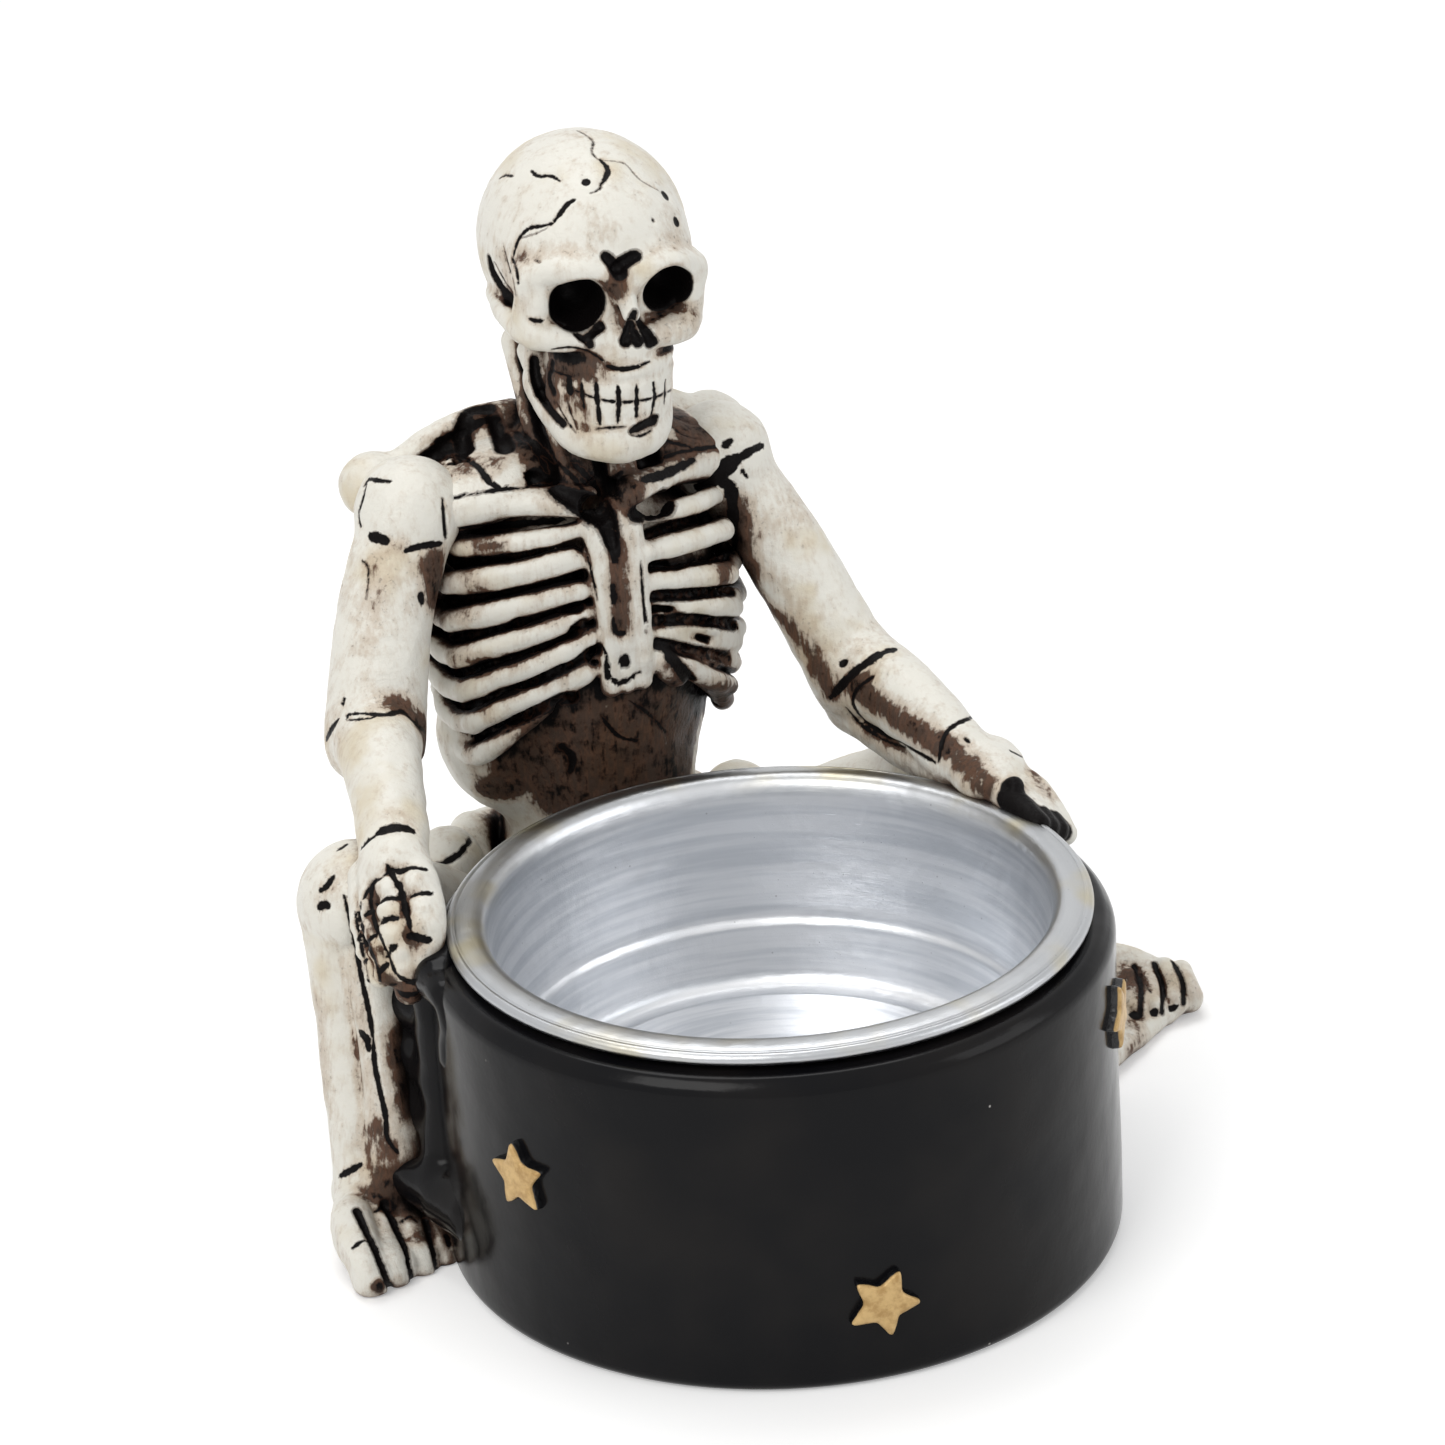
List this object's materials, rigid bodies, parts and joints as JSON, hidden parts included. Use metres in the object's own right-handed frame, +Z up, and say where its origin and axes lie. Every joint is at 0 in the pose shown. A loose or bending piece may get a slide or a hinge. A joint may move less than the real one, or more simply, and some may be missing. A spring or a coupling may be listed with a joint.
{
  "type": "skeleton candle holder",
  "caption": "Tealight holder: a cast skeleton seated behind a round pot and holding it in both arms, with a spun metal cup in the pot.",
  "frame": {"origin": "centre of the pot's underside, on the pot's axis", "axes": "+Z up along the pot's axis, the figure sits behind the pot at +Y and faces -Y, +X to the right as seen from the front"},
  "size_m": [0.0734, 0.0706, 0.0726],
  "materials": {
    "painted_resin": "bone paint with a brown wash on the figure, black paint on the pot, gold on its stars, all under gloss varnish",
    "spun_aluminium": "brushed round the axis, satin"
  },
  "bodies": {
    "root": {"figure_casting": "painted_resin", "candle_cup": "spun_aluminium"}
  },
  "joints": []
}
